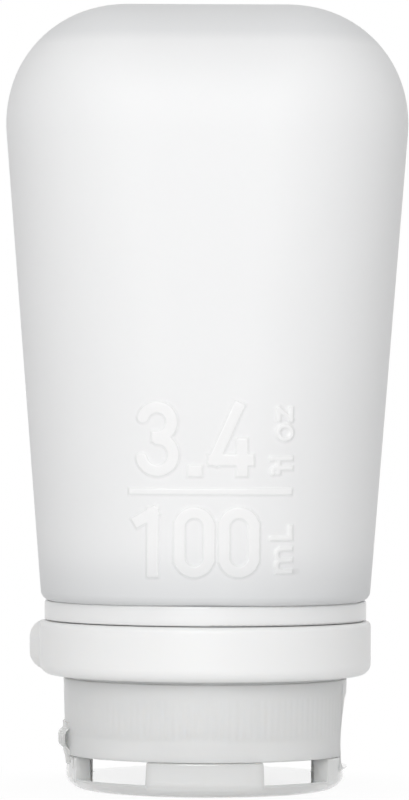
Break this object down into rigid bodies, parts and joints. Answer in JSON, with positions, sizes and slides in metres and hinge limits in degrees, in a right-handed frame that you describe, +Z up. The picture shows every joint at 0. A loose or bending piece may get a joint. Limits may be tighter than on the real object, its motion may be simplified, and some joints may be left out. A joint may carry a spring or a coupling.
{
  "type": "travel silicone bottle",
  "caption": "Squeezable translucent silicone travel bottle, standing on its flip lid, with a screw cap, no-drip valve, rigid neck collar and a hanging loop ring.",
  "frame": {"origin": "centre of the flat outer face of the flip lid, on which the bottle stands", "axes": "+Z up along the bottle to its base; -X to the lid's hinge, +X to the finger lip; -Y to the side with the capacity marks"},
  "size_m": [0.0516, 0.0545, 0.1009],
  "materials": {
    "clear_silicone": "soft translucent silicone, satin",
    "white_silicone": "soft white silicone, satin",
    "valve_silicone": "thin milky silicone",
    "white_plastic": "white moulded plastic, satin",
    "milky_plastic": "milky translucent moulded plastic",
    "clear_plastic": "clear moulded plastic, slightly hazy"
  },
  "bodies": {
    "bottle": {"silicone_bottle": "clear_silicone", "neck_collar": "white_plastic", "neck_sleeve": "white_plastic"},
    "ring": {"loop_ring": "white_silicone"},
    "seal": {"seal_ring": "white_silicone"},
    "cap": {"cap_shell": "milky_plastic", "no_drip_valve": "valve_silicone", "valve_retainer": "white_plastic", "hinge_strap": "milky_plastic"},
    "lid": {"flip_lid": "clear_plastic"}
  },
  "joints": [
    {"name": "ring_swivel", "type": "hinge", "parent": "bottle", "child": "ring", "pos_m": [0, 0, 0.0182], "axis": [0, 0, 1], "continuous": true},
    {"name": "cap_lift", "type": "slide", "parent": "bottle", "child": "seal", "axis": [0, 0, -1], "range_m": [0, 0.006]},
    {"name": "cap_turn", "type": "hinge", "parent": "seal", "child": "cap", "pos_m": [0, 0, 0.0092], "axis": [0, 0, -1], "range_deg": [0, 540]},
    {"name": "lid_flip", "type": "hinge", "parent": "cap", "child": "lid", "pos_m": [-0.0193, 0, 0.0045], "axis": [0, 1, 0], "range_deg": [0, 165]}
  ],
  "couplings": [
    {"joint": "cap_lift", "follows": "cap_turn", "m_per_rad": 0.0006366}
  ]
}
